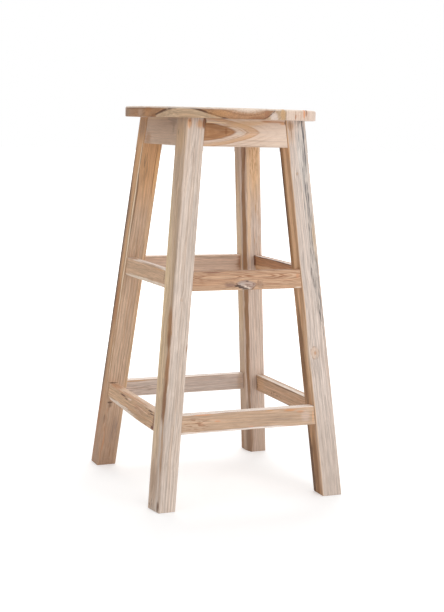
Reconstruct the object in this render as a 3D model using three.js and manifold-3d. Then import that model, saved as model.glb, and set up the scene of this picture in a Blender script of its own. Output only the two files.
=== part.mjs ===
// A square-framed bar stool in raw hardwood with a round seat.
// Four legs splay both ways, and three frames of rails are tenoned into them.
// Millimetres, +Z up. The origin is on the floor, under the middle of the seat. The front is -Y.
// Each corner and each side is modelled once, at the front right and at the front, and turned.
import * as THREE from 'three';
import { mergeVertices } from 'three/addons/utils/BufferGeometryUtils.js';
import Module from 'manifold-3d';

const wasm = await Module();
wasm.setup();

// Overall sizes
const stoolHeight = 750;
const seatDiameter = 375;
const footSpread = 394; // across the legs' outer faces at the floor
const topSpread = 248; // across the legs' outer faces under the seat

// Stock that the pieces are cut from
const seatThickness = 20;
const legWidth = 41;
const railThickness = 18;
const apronHeight = 52;
const stretcherHeight = 36;

// Top edges of the two frames of stretchers
const upperStretcherTop = 445;
const lowerStretcherTop = 179;

// Eased edges
const seatTopEase = 4;
const seatLowerEase = 1.5;
const legEase = 3;
const footEase = 1.5;
const railEase = 2;
const arcSteps = 4;
const seatSides = 120;

// Seat of boards glued edge to edge, whose grain runs askew to the frame
const boardCount = 4;
const seatGrainTurn = THREE.MathUtils.degToRad(-42);
const glueLine = 0.3;

// Mortise and tenon joints
const railSetback = 1.5; // from the legs' outer faces to the rails' outer faces
const tenonThickness = 9;
const tenonLength = 22;
const tenonShoulder = 6; // above and below a stretcher's tenon, and below an apron's
const apronHaunch = 12; // above an apron's tenon, so that the mortise stays closed at the top
const jointGap = 0.3;
const mortiseRelief = 1; // glue space past a tenon's end

// Corner blocks behind the legs, under the seat
const blockHeight = 30;
const blockThickness = 22;

// Wood screws
const screwDiameter = 4;
const screwHeadDiameter = 8;
const screwHeadHeight = 2.4;
const screwPoint = 4;
const apronScrewLength = 20;
const apronScrewGrip = 8; // wood of the block between the head and the apron
const seatScrewLength = 30;
const seatScrewGrip = 16; // wood of the block between the head and the seat
const headClearance = 0.5;
const recessWidth = 1;
const recessLength = 4.4;
const recessDepth = 1.4;
const screwSides = 16;

// Cutters run past what they cut by this much
const overrun = 5;

const legHeight = stoolHeight - seatThickness;
const seatRadius = seatDiameter / 2;
const boardWidth = seatDiameter / boardCount;
const shankRadius = screwDiameter / 2;
const headRadius = screwHeadDiameter / 2;

const seatColour = '#c9a27f';
const legColour = '#d3b497';
const apronColour = '#c39a76';
const stretcherColour = '#cfab87';
const blockColour = '#b98f66';
const steelColour = '#b9b9b4';

// The corners and sides, in turns of a quarter circle from the front right corner and the front
const quarters = [
  { corner: 'front_right', side: 'front', next: 'right' },
  { corner: 'back_right', side: 'right', next: 'back' },
  { corner: 'back_left', side: 'back', next: 'left' },
  { corner: 'front_left', side: 'left', next: 'front' },
];
const quarterTurn = Math.PI / 2;

// Distance from the middle of the stool to the legs' outer faces at a height
function halfSpread(height) {
  return THREE.MathUtils.lerp(footSpread, topSpread, height / legHeight) / 2;
}

function toSolid(geometry) {
  const bare = geometry.clone();
  bare.deleteAttribute('normal');
  bare.deleteAttribute('uv');
  const merged = mergeVertices(bare);
  const vertProperties = new Float32Array(merged.attributes.position.array);
  const triVerts = new Uint32Array(merged.index.array);
  return new wasm.Manifold(new wasm.Mesh({ numProp: 3, vertProperties, triVerts }));
}

function toGeometry(solid) {
  const mesh = solid.getMesh();
  const indexed = new THREE.BufferGeometry();
  indexed.setAttribute('position', new THREE.BufferAttribute(mesh.vertProperties, 3));
  indexed.setIndex(new THREE.BufferAttribute(mesh.triVerts, 1));
  const geometry = indexed.toNonIndexed();
  geometry.computeVertexNormals();
  return geometry;
}

// A closed solid through rings of points, each anticlockwise when seen from the last ring's end
function loft(rings) {
  const size = rings[0].length;
  const last = (rings.length - 1) * size;
  const index = [];
  for (let ring = 0; ring < rings.length - 1; ring++) {
    for (let i = 0; i < size; i++) {
      const a = ring * size + i;
      const b = ring * size + (i + 1) % size;
      index.push(a, b, b + size, a, b + size, a + size);
    }
  }
  for (let i = 1; i < size - 1; i++) {
    index.push(0, i + 1, i, last, last + i, last + i + 1);
  }
  const geometry = new THREE.BufferGeometry().setFromPoints(rings.flat());
  geometry.setIndex(index);
  return geometry;
}

// The outline of a rectangle, anticlockwise, with its two lower and two upper corners rounded
function easedRectangle(left, right, bottom, top, lowerEase, upperEase) {
  const corners = [
    { x: right - lowerEase, y: bottom + lowerEase, ease: lowerEase },
    { x: right - upperEase, y: top - upperEase, ease: upperEase },
    { x: left + upperEase, y: top - upperEase, ease: upperEase },
    { x: left + lowerEase, y: bottom + lowerEase, ease: lowerEase },
  ];
  return corners.flatMap(({ x, y, ease }, i) => {
    const steps = ease > 0 ? arcSteps : 0;
    return Array.from({ length: steps + 1 }, (_, step) => {
      const angle = (i - 1 + step / Math.max(steps, 1)) * quarterTurn;
      return new THREE.Vector2(x + ease * Math.cos(angle), y + ease * Math.sin(angle));
    });
  });
}

// A beam between the two front legs. Its outline is given as depth behind the legs' outer faces
// and height, and it leans with the legs. It ends a distance past their inner faces.
function frontBeam(outline, reach) {
  const ring = (end) => outline.map(({ x: depth, y: height }) => {
    const spread = halfSpread(height);
    return new THREE.Vector3(end * (spread - legWidth + reach), depth - spread, height);
  });
  return toSolid(loft([ring(-1), ring(1)]));
}

// A tenon's outline, or with a clearance its mortise's
function tenonOutline(low, high, clearance) {
  const front = railSetback + (railThickness - tenonThickness) / 2;
  return easedRectangle(
    front - clearance, front + tenonThickness + clearance, low - clearance, high + clearance, 0, 0,
  );
}

const apron = {
  name: 'apron',
  low: legHeight - apronHeight,
  high: legHeight,
  tenonLow: legHeight - apronHeight + tenonShoulder,
  tenonHigh: legHeight - apronHaunch,
  topEase: 0,
  colour: apronColour,
};

function stretcher(name, high) {
  const low = high - stretcherHeight;
  return {
    name,
    low,
    high,
    tenonLow: low + tenonShoulder,
    tenonHigh: high - tenonShoulder,
    topEase: railEase,
    colour: stretcherColour,
  };
}

const upperStretcher = stretcher('upper_stretcher', upperStretcherTop);
const lowerStretcher = stretcher('lower_stretcher', lowerStretcherTop);
const rails = [apron, upperStretcher, lowerStretcher];

function railSolid(rail) {
  const depth = railSetback + railThickness;
  const outline = easedRectangle(railSetback, depth, rail.low, rail.high, railEase, rail.topEase);
  const body = frontBeam(outline, -jointGap);
  const tenons = frontBeam(tenonOutline(rail.tenonLow, rail.tenonHigh, 0), tenonLength);
  return body.add(tenons);
}

// The front right leg, with mortises for the front rails and for those of the right side
function legSolid() {
  const ring = (height, inset) => {
    const outer = halfSpread(height);
    const inner = outer - legWidth;
    const ease = legEase;
    const outline = easedRectangle(inner + inset, outer - inset, inset - outer, -inner - inset, ease, ease);
    return outline.map(({ x, y }) => new THREE.Vector3(x, y, height));
  };
  let leg = toSolid(loft([ring(0, footEase), ring(footEase, 0), ring(legHeight, 0)]));
  for (const rail of rails) {
    const outline = tenonOutline(rail.tenonLow, rail.tenonHigh, jointGap);
    const front = frontBeam(outline, tenonLength + mortiseRelief);
    leg = leg.subtract(front).subtract(turned(front, 1));
  }
  return leg;
}

// A solid turned about the stool's middle by a number of quarter circles
function turned(solid, count) {
  return toSolid(toGeometry(solid).rotateZ(count * quarterTurn));
}

// A point at the front right corner: distances in from the legs' outer faces, and a height
function inCorner(fromRight, fromFront, height) {
  const spread = halfSpread(height);
  return new THREE.Vector3(spread - fromRight, fromFront - spread, height);
}

// The block meets both aprons' inner faces, and its outer face passes the leg's inner corner
const blockEdge = railSetback + railThickness + jointGap;
const blockOuterReach = 2 * (legWidth + jointGap) - blockEdge;
const blockInnerReach = blockOuterReach + blockThickness * Math.SQRT2;
const blockMiddle = (blockEdge + (blockOuterReach + blockInnerReach) / 2) / 2;

// Where the screws' heads bear, and the way each screw points
const apronScrewHeight = legHeight - blockHeight / 2;
const apronScrewReach = (blockOuterReach + blockInnerReach) / 2;
const apronScrews = [
  {
    seat: inCorner(apronScrewReach, blockEdge + apronScrewGrip, apronScrewHeight),
    direction: new THREE.Vector3(0, -1, 0),
    length: apronScrewLength,
  },
  {
    seat: inCorner(blockEdge + apronScrewGrip, apronScrewReach, apronScrewHeight),
    direction: new THREE.Vector3(1, 0, 0),
    length: apronScrewLength,
  },
];
const seatScrew = {
  seat: inCorner(blockMiddle, blockMiddle, legHeight).setZ(legHeight - seatScrewGrip),
  direction: new THREE.Vector3(0, 0, 1),
  length: seatScrewLength,
};

const screwAxis = new THREE.Vector3(0, 0, 1);

// The hole for a screw's shank, and behind its head a wider one out to the open
function screwHole(screw) {
  const holeLength = screw.length + jointGap;
  const hole = new THREE.CylinderGeometry(
    shankRadius + jointGap, shankRadius + jointGap, holeLength + overrun, screwSides,
  );
  hole.rotateX(quarterTurn).translate(0, 0, (holeLength - overrun) / 2);
  const counterbore = new THREE.CylinderGeometry(
    headRadius + headClearance, headRadius + headClearance, blockThickness + blockHeight, screwSides,
  );
  counterbore.rotateX(quarterTurn).translate(0, 0, -jointGap - (blockThickness + blockHeight) / 2);
  const placed = [hole, counterbore].map((geometry) => {
    const turn = new THREE.Quaternion().setFromUnitVectors(screwAxis, screw.direction);
    return toSolid(geometry.applyQuaternion(turn).translate(...screw.seat));
  });
  return placed[0].add(placed[1]);
}

// A pan-head wood screw along +Z, with the underside of its head just short of the origin
function screwGeometry(length) {
  const profile = [
    new THREE.Vector2(0, -screwHeadHeight),
    new THREE.Vector2(headRadius / 2, -screwHeadHeight),
    new THREE.Vector2(headRadius * Math.cos(quarterTurn / 2), -screwHeadHeight * Math.cos(quarterTurn / 3)),
    new THREE.Vector2(headRadius, -screwHeadHeight / 3),
    new THREE.Vector2(headRadius, -jointGap),
    new THREE.Vector2(shankRadius, -jointGap),
    new THREE.Vector2(shankRadius, length - screwPoint),
    new THREE.Vector2(0, length),
  ];
  let screw = toSolid(new THREE.LatheGeometry(profile, screwSides).rotateX(quarterTurn));
  for (const turn of [0, quarterTurn]) {
    const slot = new THREE.BoxGeometry(recessLength, recessWidth, recessDepth + overrun);
    slot.translate(0, 0, recessDepth - screwHeadHeight - (recessDepth + overrun) / 2).rotateZ(turn);
    screw = screw.subtract(toSolid(slot));
  }
  return toGeometry(screw);
}

function blockSolid() {
  const ring = (height) => [
    inCorner(blockInnerReach, blockEdge, height),
    inCorner(blockOuterReach, blockEdge, height),
    inCorner(blockEdge, blockOuterReach, height),
    inCorner(blockEdge, blockInnerReach, height),
  ];
  const block = toSolid(loft([ring(legHeight - blockHeight), ring(legHeight)]));
  return [...apronScrews, seatScrew].reduce((solid, screw) => solid.subtract(screwHole(screw)), block);
}

// An apron is also drilled for one screw from the block at each of its ends
function apronSolid() {
  const fromRight = screwHole(apronScrews[0]);
  const fromLeft = turned(screwHole(apronScrews[1]), -1);
  return railSolid(apron).subtract(fromRight).subtract(fromLeft);
}

// The whole round seat, with its upper edge rounded over
function seatDisc() {
  const section = [new THREE.Vector2(0, legHeight)];
  for (let step = 0; step <= arcSteps; step++) {
    const angle = (step / arcSteps) * quarterTurn;
    section.push(new THREE.Vector2(
      seatRadius - seatLowerEase * (1 - Math.sin(angle)),
      legHeight + seatLowerEase * (1 - Math.cos(angle)),
    ));
  }
  for (let step = 0; step <= arcSteps; step++) {
    const angle = (step / arcSteps) * quarterTurn;
    section.push(new THREE.Vector2(
      seatRadius - seatTopEase * (1 - Math.cos(angle)),
      stoolHeight - seatTopEase * (1 - Math.sin(angle)),
    ));
  }
  section.push(new THREE.Vector2(0, stoolHeight));
  return toSolid(new THREE.LatheGeometry(section, seatSides).rotateX(quarterTurn));
}

// Board 0 is the one at the front left, and the last one is at the back right
function seatBoardSolid(disc, board) {
  const isFirst = board === 0;
  const isLast = board === boardCount - 1;
  const near = board * boardWidth - seatRadius + (isFirst ? -overrun : glueLine / 2);
  const far = (board + 1) * boardWidth - seatRadius + (isLast ? overrun : -glueLine / 2);
  const strip = new THREE.BoxGeometry(
    seatDiameter + 2 * overrun, far - near, seatThickness + 2 * overrun,
  );
  strip.translate(0, (near + far) / 2, legHeight + seatThickness / 2).rotateZ(seatGrainTurn);
  let solid = disc.intersect(toSolid(strip));
  const hole = screwHole(seatScrew);
  for (let quarter = 0; quarter < quarters.length; quarter++) {
    solid = solid.subtract(turned(hole, quarter));
  }
  return solid;
}

function wooden(name, geometry, colour) {
  const material = new THREE.MeshStandardMaterial({ color: colour, roughness: 0.75, metalness: 0 });
  const mesh = new THREE.Mesh(geometry, material);
  mesh.name = name;
  return mesh;
}

function screwMesh(name, screw) {
  const material = new THREE.MeshStandardMaterial({ color: steelColour, roughness: 0.35, metalness: 1 });
  const mesh = new THREE.Mesh(screwGeometry(screw.length), material);
  mesh.name = name;
  mesh.position.copy(screw.seat);
  mesh.quaternion.setFromUnitVectors(screwAxis, screw.direction);
  return mesh;
}

const stool = new THREE.Group();

const disc = seatDisc();
for (let board = 0; board < boardCount; board++) {
  const geometry = toGeometry(seatBoardSolid(disc, board));
  stool.add(wooden(`seat_board_${board + 1}`, geometry, seatColour));
}

const legGeometry = toGeometry(legSolid());
const blockGeometry = toGeometry(blockSolid());
const railGeometry = new Map(rails.map((rail) => [
  rail, toGeometry(rail === apron ? apronSolid() : railSolid(rail)),
]));

quarters.forEach(({ corner, side, next }, count) => {
  const quarter = new THREE.Group();
  quarter.rotation.z = count * quarterTurn;
  quarter.add(wooden(`leg_${corner}`, legGeometry, legColour));
  for (const rail of rails) {
    quarter.add(wooden(`${rail.name}_${side}`, railGeometry.get(rail), rail.colour));
  }
  quarter.add(wooden(`corner_block_${corner}`, blockGeometry, blockColour));
  quarter.add(screwMesh(`apron_screw_${corner}_to_${side}`, apronScrews[0]));
  quarter.add(screwMesh(`apron_screw_${corner}_to_${next}`, apronScrews[1]));
  quarter.add(screwMesh(`seat_screw_${corner}`, seatScrew));
  stool.add(quarter);
});

export default stool;
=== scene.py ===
import math
from collections import namedtuple
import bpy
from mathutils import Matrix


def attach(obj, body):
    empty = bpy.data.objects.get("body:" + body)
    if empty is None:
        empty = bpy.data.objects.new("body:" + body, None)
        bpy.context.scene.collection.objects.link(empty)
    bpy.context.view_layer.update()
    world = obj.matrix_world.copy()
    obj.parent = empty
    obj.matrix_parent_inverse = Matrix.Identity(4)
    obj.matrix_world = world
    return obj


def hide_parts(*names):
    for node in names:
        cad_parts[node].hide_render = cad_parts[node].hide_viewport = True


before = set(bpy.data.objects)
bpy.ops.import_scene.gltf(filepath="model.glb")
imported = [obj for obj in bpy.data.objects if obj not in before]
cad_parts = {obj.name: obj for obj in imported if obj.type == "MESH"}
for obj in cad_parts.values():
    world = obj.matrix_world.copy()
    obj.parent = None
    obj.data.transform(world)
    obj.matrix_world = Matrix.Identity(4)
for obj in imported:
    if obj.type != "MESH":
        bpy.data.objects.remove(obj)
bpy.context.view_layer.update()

from types import SimpleNamespace

import bpy
from mathutils import Matrix, Vector

# Driving sizes, in metres, as the CAD part has them
STOOL_HEIGHT = 0.750
SEAT_DIAMETER = 0.375
SEAT_THICKNESS = 0.020
FOOT_SPREAD = 0.394
TOP_SPREAD = 0.248
LEG_WIDTH = 0.041
RAIL_THICKNESS = 0.018
APRON_HEIGHT = 0.052
STRETCHER_HEIGHT = 0.036
UPPER_STRETCHER_TOP = 0.445
LOWER_STRETCHER_TOP = 0.179
RAIL_SETBACK = 0.0015
TENON_THICKNESS = 0.009
TENON_LENGTH = 0.022
TENON_SHOULDER = 0.006
APRON_HAUNCH = 0.012
JOINT_GAP = 0.0003
SEAT_GRAIN_TURN = math.radians(-42)
BOARD_COUNT = 4

# What only the looks need: how far edges are eased, in metres, and the facets round the seat
RAIL_EASE = 0.0016
SHOULDER_EASE = 0.0006
LEG_EASE = 0.0016
FOOT_EASE = 0.0015
SEAT_TOP_EASE = 0.004
SEAT_LOWER_EASE = 0.0015
SEAT_FACETS = 240

LEG_HEIGHT = STOOL_HEIGHT - SEAT_THICKNESS
SEAT_RADIUS = SEAT_DIAMETER / 2
BOARD_WIDTH = SEAT_DIAMETER / BOARD_COUNT
QUARTER_TURN = math.pi / 2
SHARP_CORNER = math.radians(30)
SMOOTH_CORNER = math.radians(35)
ALIGNED = 0.9
CORNERS = ("front_right", "back_right", "back_left", "front_left")
SIDES = ("front", "right", "back", "left")

# The photograph's camera, and its picture's height in pixels
PICTURE_HEIGHT = 612
CAMERA_AZIMUTH = math.radians(-23.46)
CAMERA_PITCH = math.radians(8.22)
CAMERA_ROLL = math.radians(1.47)
CAMERA_DISTANCE = 2.501
CAMERA_SIDESTEP = 0.0127
CAMERA_HEIGHT = 0.7176
FOCAL_PIXELS = 1250.5


def half_spread(height):
    """From the middle of the stool to the legs' outer faces at a height."""
    share = height / LEG_HEIGHT
    return (FOOT_SPREAD + (TOP_SPREAD - FOOT_SPREAD) * share) / 2


# Modelling by hand: everything is deselected, one piece is made and shaped in edit mode

def settle(name):
    """Names the new primitive and puts its place and size into its mesh."""
    bpy.ops.object.transform_apply(location=True, rotation=True, scale=True)
    bpy.context.object.name = name
    return bpy.context.object


def start_block(name, low, high):
    """A block between two corners, selected, active and alone."""
    bpy.ops.object.select_all(action="DESELECT")
    low, high = Vector(low), Vector(high)
    bpy.ops.mesh.primitive_cube_add(size=1, location=(low + high) / 2, scale=high - low)
    return settle(name)


def start_disc(name, radius, low, high, sides):
    bpy.ops.object.select_all(action="DESELECT")
    bpy.ops.mesh.primitive_cylinder_add(
        vertices=sides, radius=radius, depth=high - low, location=(0, 0, (low + high) / 2)
    )
    return settle(name)


def activate(piece):
    bpy.ops.object.select_all(action="DESELECT")
    piece.select_set(True)
    bpy.context.view_layer.objects.active = piece


def select(piece, kind, test):
    """Selects the vertices, edges or faces that pass a test, in edit mode."""
    bpy.ops.object.mode_set(mode="EDIT")
    bpy.ops.mesh.select_all(action="DESELECT")
    bpy.ops.mesh.select_mode(type=kind)
    bpy.ops.object.mode_set(mode="OBJECT")
    mesh = piece.data
    parts = {"VERT": mesh.vertices, "EDGE": mesh.edges, "FACE": mesh.polygons}[kind]
    for part in parts:
        part.select = bool(test(part))
    bpy.ops.object.mode_set(mode="EDIT")


def leave_edit():
    bpy.ops.object.mode_set(mode="OBJECT")


def round_off(piece, kind, test, amount, segments):
    """Rounds the edges that pass a test, or all round the faces that pass it."""
    select(piece, kind, test)
    bpy.ops.mesh.bevel(offset=amount, segments=segments, affect="EDGES", clamp_overlap=False)
    leave_edit()


def edge_ends(piece, edge):
    return [piece.data.vertices[number].co for number in edge.vertices]


def sharp_edges(piece):
    """The keys of the edges whose two faces meet in a clear corner."""
    normals = {}
    for face in piece.data.polygons:
        for key in face.edge_keys:
            normals.setdefault(key, []).append(face.normal.copy())
    return {key for key, pair in normals.items() if pair[0].angle(pair[-1]) > SHARP_CORNER}


def ease_long_edges(piece, way, amount, below):
    """Rounds the corners that run one way and lie below a height."""
    sharp = sharp_edges(piece)

    def is_long_corner(edge):
        start, end = edge_ends(piece, edge)
        runs_along = abs((end - start).normalized().dot(way)) > ALIGNED
        return edge.key in sharp and runs_along and (start + end).z / 2 < below

    round_off(piece, "EDGE", is_long_corner, amount, segments=4)


def lean(piece, low, high, shift, spread_scale=None):
    """Moves a block's top over, and narrows it between its ends if asked."""
    middle = (low + high) / 2
    select(piece, "VERT", lambda vertex: vertex.co.z > middle)
    bpy.ops.transform.translate(value=shift)
    if spread_scale:
        bpy.ops.transform.resize(value=(spread_scale, 1, 1), center_override=(0, 0, high))
    leave_edit()


def slice_off(piece, point, normal):
    """Cuts away what lies past a plane, and closes the cut."""
    activate(piece)
    bpy.ops.object.mode_set(mode="EDIT")
    bpy.ops.mesh.select_all(action="SELECT")
    bpy.ops.mesh.bisect(
        plane_co=point, plane_no=normal, use_fill=True, clear_outer=True, threshold=1e-6
    )
    leave_edit()


def combine(piece, other, operation):
    """Joins another solid to a piece or cuts it away, and removes the other."""
    activate(piece)
    modifier = piece.modifiers.new("cut", "BOOLEAN")
    modifier.operation = operation
    modifier.object = other
    modifier.solver = "EXACT"
    bpy.ops.object.modifier_apply(modifier=modifier.name)
    bpy.data.objects.remove(other)


def turn(piece, count):
    """Turns a piece about the stool's middle by a number of quarter circles."""
    activate(piece)
    piece.data.transform(Matrix.Rotation(count * QUARTER_TURN, 4, "Z"))


def copy_piece(piece, name):
    twin = piece.copy()
    twin.data = piece.data.copy()
    bpy.context.collection.objects.link(twin)
    twin.name = name
    return twin


def smooth(piece):
    """Rounds the shading over eased edges and keeps the broad faces flat."""
    activate(piece)
    bpy.ops.object.shade_smooth_by_angle(angle=SMOOTH_CORNER)
    modifier = piece.modifiers.new("flat faces", "WEIGHTED_NORMAL")
    modifier.keep_sharp = True
    bpy.ops.object.modifier_apply(modifier=modifier.name)


def mount_piece(piece, node, material):
    piece.data.materials.clear()
    piece.data.materials.append(material)
    smooth(piece)
    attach(piece, "root")
    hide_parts(node)


# The frame of rails

def front_beam(name, depth_low, depth_high, low, high, reach):
    """A beam between the front legs, from one depth behind their outer faces to another.
    It leans with the legs and ends a distance past their inner faces."""
    spread = half_spread(low)
    end = spread - LEG_WIDTH + reach
    beam = start_block(name, (-end, depth_low - spread, low), (end, depth_high - spread, high))
    inward = spread - half_spread(high)
    lean(beam, low, high, (0, inward, 0), (end - inward) / end)
    return beam


def tenon_beam(name, low, high, clearance, reach):
    face = RAIL_SETBACK + (RAIL_THICKNESS - TENON_THICKNESS) / 2
    return front_beam(
        name, face - clearance, face + TENON_THICKNESS + clearance,
        low - clearance, high + clearance, reach,
    )


def rail_edges(top, height, haunch):
    """The heights of a rail's lower and upper edge, and of its tenons' lower and upper edge."""
    return top - height, top, top - height + TENON_SHOULDER, top - haunch


RAIL_KINDS = {
    "apron": rail_edges(LEG_HEIGHT, APRON_HEIGHT, APRON_HAUNCH),
    "upper_stretcher": rail_edges(UPPER_STRETCHER_TOP, STRETCHER_HEIGHT, TENON_SHOULDER),
    "lower_stretcher": rail_edges(LOWER_STRETCHER_TOP, STRETCHER_HEIGHT, TENON_SHOULDER),
}


def rail_body(name, kind):
    """The front rail of a kind before its edges are eased, without tenons."""
    low, high = RAIL_KINDS[kind][:2]
    return front_beam(name, RAIL_SETBACK, RAIL_SETBACK + RAIL_THICKNESS, low, high, -JOINT_GAP)


def finish_rail(body, kind, count):
    """Eases a rail's edges and gives it tenons, once it stands on its own side.
    An apron's upper edges lie against the seat and stay sharp."""
    way = Matrix.Rotation(count * QUARTER_TURN, 3, "Z") @ Vector((1, 0, 0))
    _, high, tenon_low, tenon_high = RAIL_KINDS[kind]
    below = high - RAIL_EASE if kind == "apron" else high + RAIL_EASE
    ease_long_edges(body, way, RAIL_EASE, below)
    round_off(body, "FACE", lambda face: abs(face.normal.dot(way)) > ALIGNED, SHOULDER_EASE, segments=2)
    tenons = tenon_beam("tenons", tenon_low, tenon_high, 0, TENON_LENGTH)
    turn(tenons, count)
    combine(body, tenons, "UNION")


def leg_post(name):
    """The front right leg before its edges are eased."""
    foot, top = half_spread(0), half_spread(LEG_HEIGHT)
    post = start_block(name, (foot - LEG_WIDTH, -foot, 0), (foot, LEG_WIDTH - foot, LEG_HEIGHT))
    inward = foot - top
    lean(post, 0, LEG_HEIGHT, (-inward, inward, 0))
    return post


def finish_leg(post, count):
    """Eases a leg's edges and cuts its six mortises, once it stands in its own corner."""
    ease_long_edges(post, Vector((0, 0, 1)), LEG_EASE, LEG_HEIGHT)
    round_off(post, "FACE", lambda face: face.normal.z < -ALIGNED, FOOT_EASE, segments=2)
    for _, _, tenon_low, tenon_high in RAIL_KINDS.values():
        for side in (count, count + 1):
            hole = tenon_beam("mortise", tenon_low, tenon_high, JOINT_GAP, TENON_LENGTH + JOINT_GAP)
            turn(hole, side)
            combine(post, hole, "DIFFERENCE")


# Where each stick's corner is, in millimetres, and its grain and across directions

MILLIMETRE = 0.001
LEAN = (FOOT_SPREAD - TOP_SPREAD) / 2 / LEG_HEIGHT
FOOT_OUT = FOOT_SPREAD / 2 / MILLIMETRE
FOOT_IN = FOOT_OUT - LEG_WIDTH / MILLIMETRE
LEG_STICKS = {
    "front_left": ((-FOOT_OUT, -FOOT_OUT, 0), (LEAN, LEAN, 1), (1, 0, 0)),
    "front_right": ((FOOT_IN, -FOOT_OUT, 0), (-LEAN, LEAN, 1), (1, 0, 0)),
    "back_left": ((-FOOT_OUT, FOOT_IN, 0), (LEAN, -LEAN, 1), (1, 0, 0)),
    "back_right": ((FOOT_IN, FOOT_IN, 0), (-LEAN, -LEAN, 1), (1, 0, 0)),
}
SEAT_GRAIN = Matrix.Rotation(SEAT_GRAIN_TURN, 3, "Z") @ Vector((1, 0, 0))
SEAT_ACROSS = Matrix.Rotation(SEAT_GRAIN_TURN, 3, "Z") @ Vector((0, -1, 0))
SEAT_STICK = ((0, 0, STOOL_HEIGHT / MILLIMETRE), SEAT_GRAIN, SEAT_ACROSS)


def rail_stick(kind, side):
    """The front and left rails start at the outer face, and the others at the inner face."""
    top = RAIL_KINDS[kind][1]
    spread = half_spread(top) / MILLIMETRE
    end = spread - LEG_WIDTH / MILLIMETRE
    outer = spread - RAIL_SETBACK / MILLIMETRE
    inner = outer - RAIL_THICKNESS / MILLIMETRE
    top = top / MILLIMETRE
    return {
        "front": ((-end, -outer, top), (1, 0, 0), (0, -LEAN, -1)),
        "left": ((-outer, end, top), (0, -1, 0), (-LEAN, 0, -1)),
        "back": ((-end, inner, top), (1, 0, 0), (0, LEAN, -1)),
        "right": ((inner, end, top), (0, -1, 0), (LEAN, 0, -1)),
    }[side]


def block_stick(corner):
    """A block's grain runs from one apron to the other, and it starts at the block's top."""
    quarter = Matrix.Rotation(CORNERS.index(corner) * QUARTER_TURN, 3, "Z")
    return ((0, 0, LEG_HEIGHT / MILLIMETRE), quarter @ Vector((1, 1, 0)), (0, 0, -1))


def stick_of(node):
    """The stick that a node's piece is cut from."""
    kind, _, corner = node.partition("_")
    if kind == "leg":
        return LEG_STICKS[corner]
    if kind == "seat":
        return SEAT_STICK
    if kind == "corner":
        return block_stick(node.removeprefix("corner_block_"))
    rail_kind, _, side = node.rpartition("_")
    return rail_stick(rail_kind, side)


def stick_frame(node):
    """A stick's corner, and its grain, across and inward directions as the columns of a matrix."""
    origin, grain, across = stick_of(node)
    grain = Vector(grain).normalized()
    across = Vector(across)
    across = (across - across.dot(grain) * grain).normalized()
    return Vector(origin), Matrix((grain, across, grain.cross(across))).transposed()


def rail_section(height):
    return height / MILLIMETRE, RAIL_THICKNESS / MILLIMETRE


# How wide a stick's face and the side beside it are, square to its grain and in millimetres, where
# its arrises are painted pale, partly as wear and partly as a painted highlight. A leg leans both ways,
# so it is a little thinner there than it is level.
LEG_ACROSS_GRAIN = round(LEG_WIDTH * math.sqrt((1 + LEAN**2) / (1 + 2 * LEAN**2)) / MILLIMETRE, 1)
SECTIONS = {
    "leg": (LEG_ACROSS_GRAIN, LEG_ACROSS_GRAIN),
    "apron": rail_section(APRON_HEIGHT),
    "upper": rail_section(STRETCHER_HEIGHT),
    "lower": rail_section(STRETCHER_HEIGHT),
}


# Each noise starts elsewhere, by a step for the next one and a longer one for the next stick
SEED_STEP = 13.7
STICK_SEED_STEP = 101.3
SEED_SHARES = (1, 0.61, 1.37)

# Noise keeps to about the middle two thirds of its range, which the spread stretches to 1 each way
NOISE_MIDDLE = 0.5
NOISE_SPREAD = 3

# The sockets that a Mix node uses for its share and its two colours, and for what it gives
MIX_INPUTS = (0, 6, 7)
MIX_OUTPUT = 2


def tone(red, green, blue):
    """A colour as a screen shows it, from 0 to 255."""
    shares = (red / 255, green / 255, blue / 255)
    return tuple(((share + 0.055) / 1.055) ** 2.4 for share in shares) + (1,)


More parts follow.
